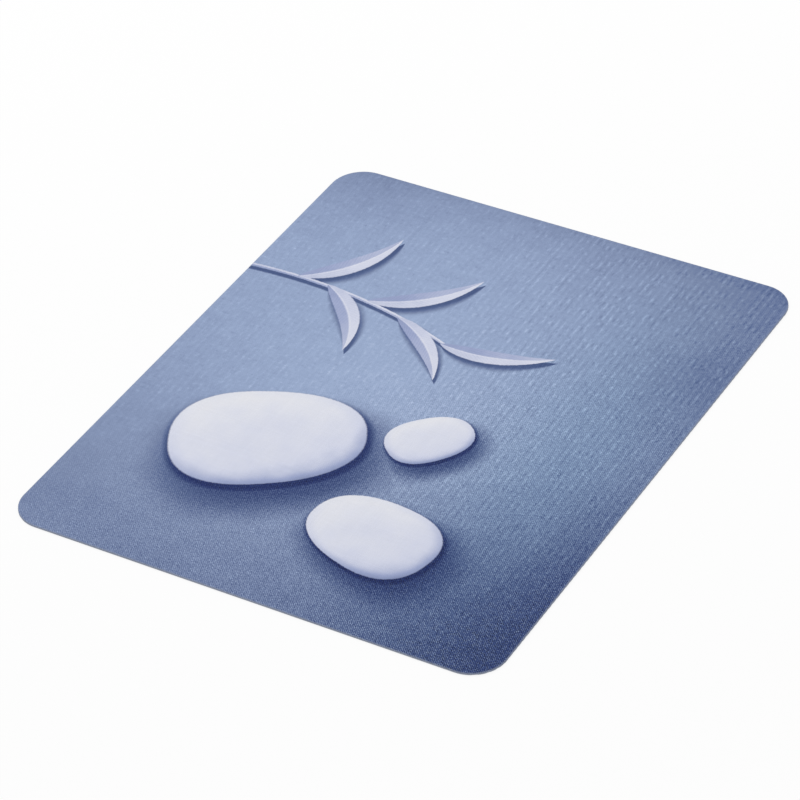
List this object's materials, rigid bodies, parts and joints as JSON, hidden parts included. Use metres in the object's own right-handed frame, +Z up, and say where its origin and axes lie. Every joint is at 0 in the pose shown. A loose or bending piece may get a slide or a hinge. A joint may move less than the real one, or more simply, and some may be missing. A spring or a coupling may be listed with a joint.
{
  "type": "mouse pad",
  "caption": "Thin rectangular mouse pad with round corners: a printed cloth face bonded to a ribbed non-slip rubber sheet.",
  "frame": {"origin": "middle of the underside, on the surface that the pad lies on", "axes": "+X to the right along the front edge, +Y from the user towards the back, +Z up"},
  "size_m": [0.1906, 0.235, 0.0008],
  "materials": {
    "printed_cloth": "matte",
    "bonding_film": "satin",
    "rubber_backing": "matte"
  },
  "bodies": {
    "root": {"printed_cloth": "printed_cloth", "bonding_film": "bonding_film", "rubber_backing": "rubber_backing"}
  },
  "joints": []
}
